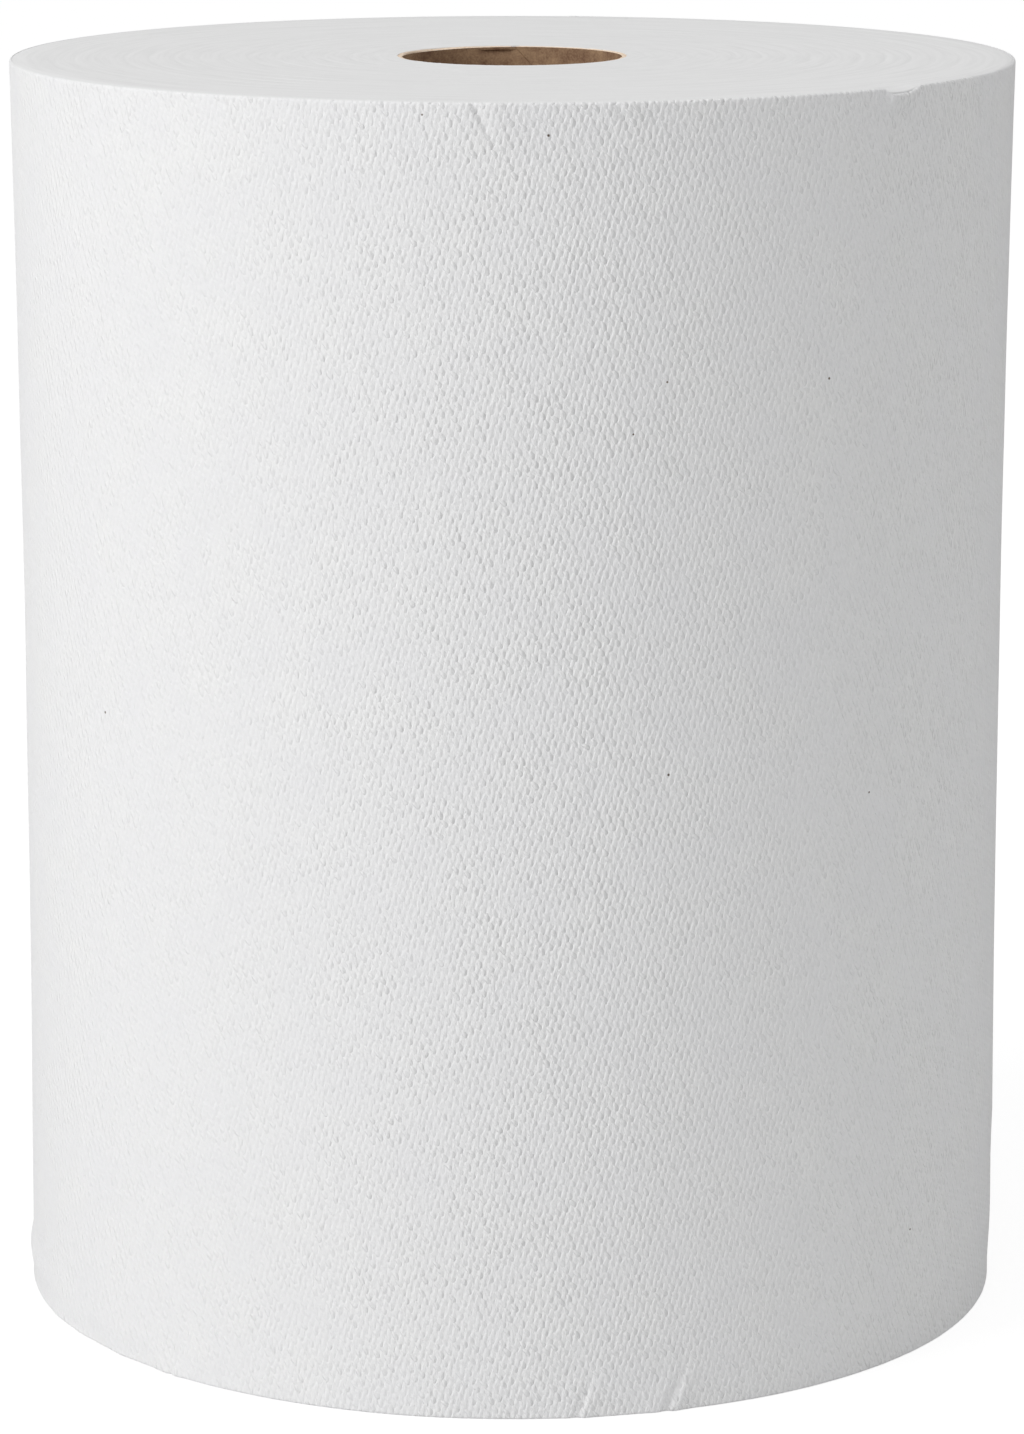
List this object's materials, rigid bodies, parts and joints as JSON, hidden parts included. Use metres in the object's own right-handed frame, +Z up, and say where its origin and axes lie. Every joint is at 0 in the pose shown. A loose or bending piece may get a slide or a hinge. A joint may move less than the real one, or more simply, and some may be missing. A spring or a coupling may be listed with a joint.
{
  "type": "paper towel roll",
  "caption": "Wound roll of white textured paper towel on a spiral-wound board core, standing on one flat saw-cut end.",
  "frame": {"origin": "middle of the lower cut end, on the axis of the core", "axes": "+Z up along the axis of the core, from the cut end that it stands on to the other; +Y towards the back, where the loose tail of the web lies"},
  "size_m": [0.2026, 0.2029, 0.254],
  "materials": {
    "core_board": "matte",
    "towel_paper": "matte"
  },
  "bodies": {
    "root": {"core": "core_board", "towel_roll": "towel_paper"}
  },
  "joints": []
}
